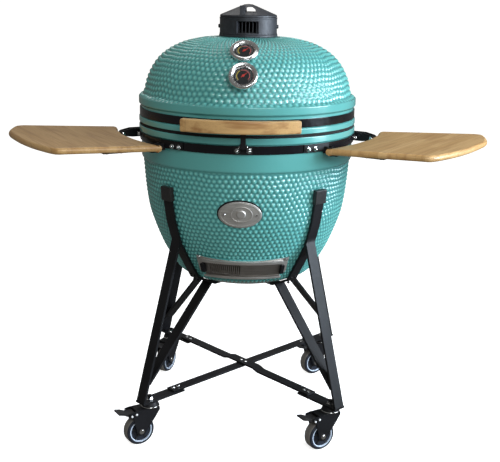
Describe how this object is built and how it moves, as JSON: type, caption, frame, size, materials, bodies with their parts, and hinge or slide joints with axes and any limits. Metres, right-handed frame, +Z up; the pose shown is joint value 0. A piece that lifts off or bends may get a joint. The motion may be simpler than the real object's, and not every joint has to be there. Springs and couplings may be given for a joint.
{
  "type": "kamado ceramic grill",
  "caption": "Egg-shaped glazed ceramic charcoal grill with hinged dome, top vent and draft door, on a rolling four-legged stand with two folding side tables.",
  "frame": {"origin": "on the ground under the middle of the bounding box, which is also the vertical axis of the round body", "axes": "+Z up, +X to the right seen from the front, the front with the handle and draft door faces -Y"},
  "size_m": [1.2386, 0.6541, 1.0775],
  "materials": {
    "glaze": "gloss",
    "black_steel": "satin",
    "cast_iron": "matte",
    "bamboo": "satin",
    "stainless": "satin",
    "chrome": "polished",
    "felt": "matte",
    "fire_clay": "matte",
    "red_paint": "satin",
    "clear_glass": "gloss",
    "wheel_rubber": "matte"
  },
  "bodies": {
    "grill": {"bowl": "glaze", "bowl_gasket": "felt", "fire_box": "fire_clay", "fire_ring": "fire_clay", "charcoal_grate": "cast_iron", "bowl_band": "black_steel", "hinge_lower_bracket": "black_steel", "hinge_pin": "chrome", "hinge_spring_left": "chrome", "hinge_spring_right": "chrome", "latch_bracket": "black_steel", "draft_frame": "stainless", "oval_plate": "stainless", "table_bracket_left_front": "black_steel", "table_bracket_left_rear": "black_steel", "table_bracket_right_front": "black_steel", "table_bracket_right_rear": "black_steel", "cradle_plate": "black_steel", "cross_bar_lower": "black_steel", "cross_bar_upper": "black_steel", "leg_frame_front_left": "black_steel", "leg_frame_front_right": "black_steel", "leg_frame_rear_left": "black_steel", "leg_frame_rear_right": "black_steel"},
    "lid": {"dome": "glaze", "dome_gasket": "felt", "dome_band": "black_steel", "hinge_upper_bracket": "black_steel", "handle_grip": "bamboo", "handle_bracket_left": "black_steel", "handle_bracket_right": "black_steel", "thermometer_lower_housing": "chrome", "thermometer_lower_lens": "clear_glass", "thermometer_upper_housing": "chrome", "thermometer_upper_lens": "clear_glass", "vent_base": "cast_iron", "vent_roof": "cast_iron"},
    "vent_sleeve": {"vent_sleeve": "cast_iron"},
    "lower_needle": {"thermometer_lower_needle": "red_paint"},
    "upper_needle": {"thermometer_upper_needle": "red_paint"},
    "draft_screen": {"draft_screen": "stainless"},
    "draft_door": {"draft_door": "stainless"},
    "latch_arm": {"latch_arm": "black_steel"},
    "cooking_grate": {"cooking_grate": "stainless"},
    "left_table": {"table_board_left": "bamboo", "table_support_left": "black_steel"},
    "right_table": {"table_board_right": "bamboo", "table_support_right": "black_steel"},
    "front_left_fork": {"caster_fork_front_left": "black_steel"},
    "front_left_wheel": {"caster_wheel_front_left": "wheel_rubber"},
    "front_left_pedal": {"caster_pedal_front_left": "black_steel"},
    "front_right_fork": {"caster_fork_front_right": "black_steel"},
    "front_right_wheel": {"caster_wheel_front_right": "wheel_rubber"},
    "front_right_pedal": {"caster_pedal_front_right": "black_steel"},
    "rear_left_fork": {"caster_fork_rear_left": "black_steel"},
    "rear_left_wheel": {"caster_wheel_rear_left": "wheel_rubber"},
    "rear_left_pedal": {"caster_pedal_rear_left": "black_steel"},
    "rear_right_fork": {"caster_fork_rear_right": "black_steel"},
    "rear_right_wheel": {"caster_wheel_rear_right": "wheel_rubber"},
    "rear_right_pedal": {"caster_pedal_rear_right": "black_steel"}
  },
  "joints": [
    {"name": "lid_hinge", "type": "hinge", "parent": "grill", "child": "lid", "pos_m": [0, 0.317, 0.786], "axis": [-1, 0, 0], "range_deg": [0, 75], "stiffness_Nm_per_rad": 50, "springref_deg": 68.75},
    {"name": "vent_sleeve_turn", "type": "hinge", "parent": "lid", "child": "vent_sleeve", "pos_m": [0, 0, 1.025], "axis": [0, 0, 1], "range_deg": [0, 45]},
    {"name": "lower_needle_turn", "type": "hinge", "parent": "lid", "child": "lower_needle", "pos_m": [-0.002, -0.252, 0.916], "axis": [0, -0.829, 0.5592], "range_deg": [-87, 183], "stiffness_Nm_per_rad": 0.0005},
    {"name": "upper_needle_turn", "type": "hinge", "parent": "lid", "child": "upper_needle", "pos_m": [-0.002, -0.194, 0.966], "axis": [0, -0.6157, 0.788], "range_deg": [-87, 183], "stiffness_Nm_per_rad": 0.0005},
    {"name": "draft_screen_slide", "type": "hinge", "parent": "grill", "child": "draft_screen", "pos_m": [0, 0, 0.448], "axis": [0, 0, 1], "range_deg": [0, 20]},
    {"name": "draft_door_slide", "type": "hinge", "parent": "grill", "child": "draft_door", "pos_m": [0, 0, 0.448], "axis": [0, 0, 1], "range_deg": [-20, 0]},
    {"name": "latch_swing", "type": "hinge", "parent": "grill", "child": "latch_arm", "pos_m": [0.001, -0.2845, 0.763], "axis": [1, 0, 0], "range_deg": [0, 90]},
    {"name": "cooking_grate_lift", "type": "slide", "parent": "grill", "child": "cooking_grate", "axis": [0, 0, 1], "range_m": [0, 0.09]},
    {"name": "left_table_fold", "type": "hinge", "parent": "grill", "child": "left_table", "pos_m": [-0.23989, -0.1385, 0.745], "axis": [0.5, -0.866, 0], "range_deg": [0, 65]},
    {"name": "right_table_fold", "type": "hinge", "parent": "grill", "child": "right_table", "pos_m": [0.23989, -0.1385, 0.745], "axis": [0.5, 0.866, 0], "range_deg": [0, 65]},
    {"name": "front_left_swivel", "type": "hinge", "parent": "grill", "child": "front_left_fork", "pos_m": [-0.22647, -0.23865, 0.1], "axis": [0, 0, 1], "continuous": true},
    {"name": "front_left_roll", "type": "hinge", "parent": "front_left_fork", "child": "front_left_wheel", "pos_m": [-0.25331, -0.25608, 0.038], "axis": [-0.5446, 0.8387, 0], "continuous": true},
    {"name": "front_left_brake", "type": "hinge", "parent": "front_left_fork", "child": "front_left_pedal", "pos_m": [-0.2684, -0.26588, 0.086], "axis": [0.5446, -0.8387, 0], "range_deg": [0, 15]},
    {"name": "front_right_swivel", "type": "hinge", "parent": "grill", "child": "front_right_fork", "pos_m": [0.22647, -0.23865, 0.1], "axis": [0, 0, 1], "continuous": true},
    {"name": "front_right_roll", "type": "hinge", "parent": "front_right_fork", "child": "front_right_wheel", "pos_m": [0.19963, -0.25608, 0.038], "axis": [-0.5446, 0.8387, 0], "continuous": true},
    {"name": "front_right_brake", "type": "hinge", "parent": "front_right_fork", "child": "front_right_pedal", "pos_m": [0.18454, -0.26588, 0.086], "axis": [0.5446, -0.8387, 0], "range_deg": [0, 15]},
    {"name": "rear_left_swivel", "type": "hinge", "parent": "grill", "child": "rear_left_fork", "pos_m": [-0.22647, 0.23865, 0.1], "axis": [0, 0, 1], "continuous": true},
    {"name": "rear_left_roll", "type": "hinge", "parent": "rear_left_fork", "child": "rear_left_wheel", "pos_m": [-0.23948, 0.20941, 0.038], "axis": [-0.9135, 0.4067, 0], "continuous": true},
    {"name": "rear_left_brake", "type": "hinge", "parent": "rear_left_fork", "child": "rear_left_pedal", "pos_m": [-0.2468, 0.19297, 0.086], "axis": [0.9135, -0.4067, 0], "range_deg": [0, 15]},
    {"name": "rear_right_swivel", "type": "hinge", "parent": "grill", "child": "rear_right_fork", "pos_m": [0.22647, 0.23865, 0.1], "axis": [0, 0, 1], "continuous": true},
    {"name": "rear_right_roll", "type": "hinge", "parent": "rear_right_fork", "child": "rear_right_wheel", "pos_m": [0.19963, 0.22122, 0.038], "axis": [-0.5446, 0.8387, 0], "continuous": true},
    {"name": "rear_right_brake", "type": "hinge", "parent": "rear_right_fork", "child": "rear_right_pedal", "pos_m": [0.18454, 0.21142, 0.086], "axis": [0.5446, -0.8387, 0], "range_deg": [0, 15]}
  ]
}
